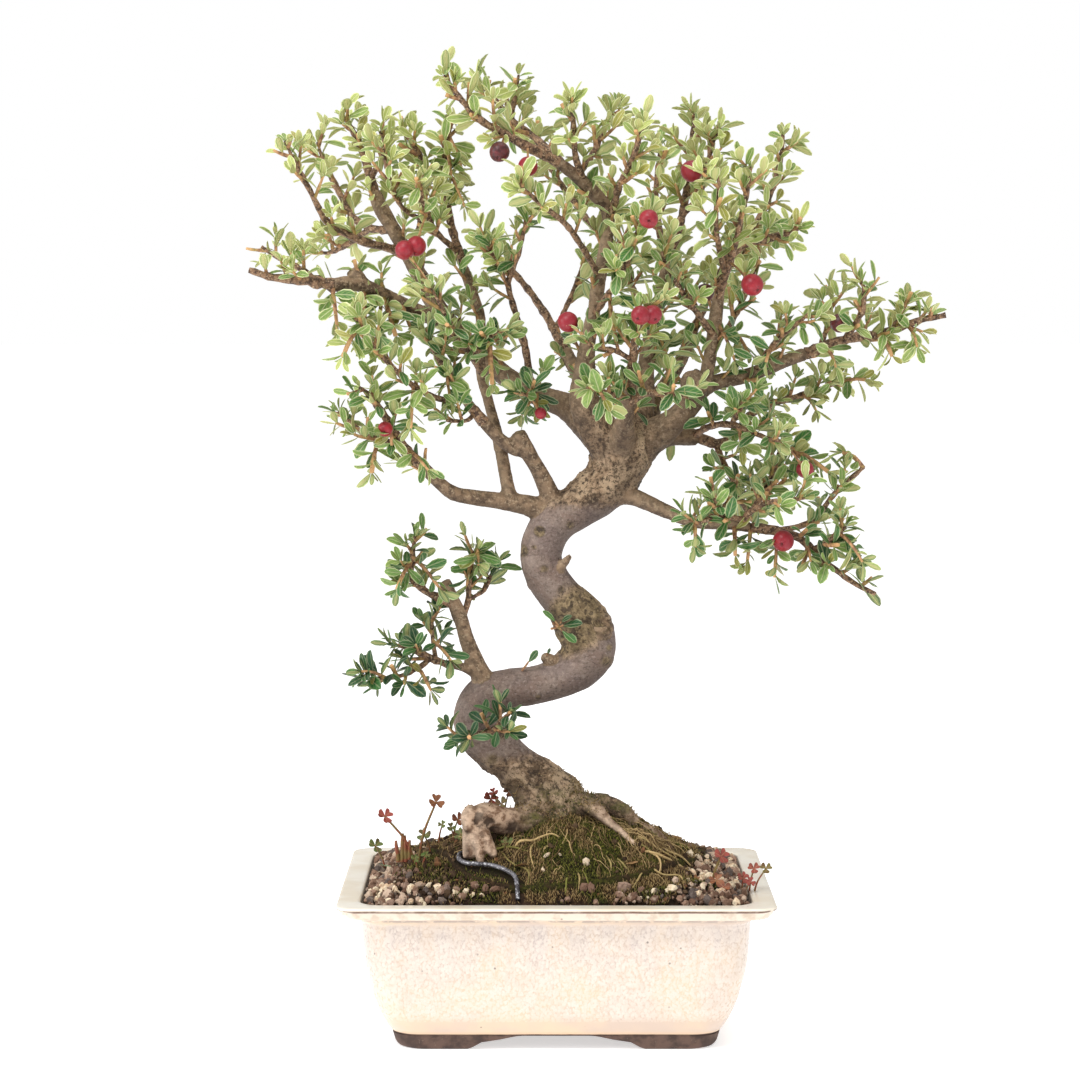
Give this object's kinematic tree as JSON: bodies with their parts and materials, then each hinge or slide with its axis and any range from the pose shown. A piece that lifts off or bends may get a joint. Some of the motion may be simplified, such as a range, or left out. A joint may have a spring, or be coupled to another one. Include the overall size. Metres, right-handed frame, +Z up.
{
  "type": "bonsai tree",
  "caption": "Wall cotoneaster trained as an S-curved bonsai, with small oval leaves and red berries, rooted in moss and grit in a cream rectangular pot.",
  "frame": {"origin": "middle of the whole object's footprint box, on the plane that the pot's feet stand on", "axes": "+Z up, +X to the right along the pot's length, +Y towards the back, away from the viewer of the picture"},
  "size_m": [0.3148, 0.1554, 0.4366],
  "materials": {
    "pot_glaze": "satin glaze with a fine crackle, cream with warmer patches; unglazed brown feet",
    "soil_grit": "matte, loose grit",
    "moss": "matte, tufted",
    "bark": "smooth to rough grey-brown bark",
    "foliage": "satin leaves on matte red-brown twigs",
    "berry": "satin skin",
    "weed": "matte, red-brown leaflets",
    "anchor_wire": "dull"
  },
  "bodies": {
    "root": {"pot": "pot_glaze", "soil": "soil_grit", "moss_mound": "moss", "trunk": "bark", "spray_arch_left": "foliage", "spray_back_left": "foliage", "spray_back_low_left": "foliage", "spray_back_low_right": "foliage", "spray_center_fork": "foliage", "spray_center_left": "foliage", "spray_dark_upright": "foliage", "spray_far_left": "foliage", "spray_foot_sprigs": "foliage", "spray_front_mid": "foliage", "spray_front_rosette": "foliage", "spray_front_twig": "foliage", "spray_head_front": "foliage", "spray_inner_right": "foliage", "spray_left_crown": "foliage", "spray_left_inner": "foliage", "spray_left_low": "foliage", "spray_left_mid": "foliage", "spray_long_front": "foliage", "spray_long_tip": "foliage", "spray_long_under": "foliage", "spray_low_right_back": "foliage", "spray_low_right_inner": "foliage", "spray_low_right_tip": "foliage", "spray_mid_back": "foliage", "spray_mid_crown": "foliage", "spray_mid_far_back": "foliage", "spray_right_back": "foliage", "spray_right_crown": "foliage", "spray_right_front": "foliage", "spray_right_tip": "foliage", "spray_spur_left": "foliage", "spray_spur_right": "foliage", "spray_spur_side": "foliage", "spray_top_back": "foliage", "spray_top_front": "foliage", "spray_top_left": "foliage", "spray_top_left_back": "foliage", "spray_top_mid": "foliage", "berry_center_small": "berry", "berry_far_right": "berry", "berry_left_low": "berry", "berry_left_pair": "berry", "berry_low_right": "berry", "berry_low_right_high": "berry", "berry_mid": "berry", "berry_mid_pair": "berry", "berry_right_dark": "berry", "berry_right_high": "berry", "berry_right_low": "berry", "berry_top_left": "berry", "berry_top_maroon": "berry", "berry_top_mid": "berry", "weed_left": "weed", "weed_right": "weed", "anchor_wire": "anchor_wire"}
  },
  "joints": []
}
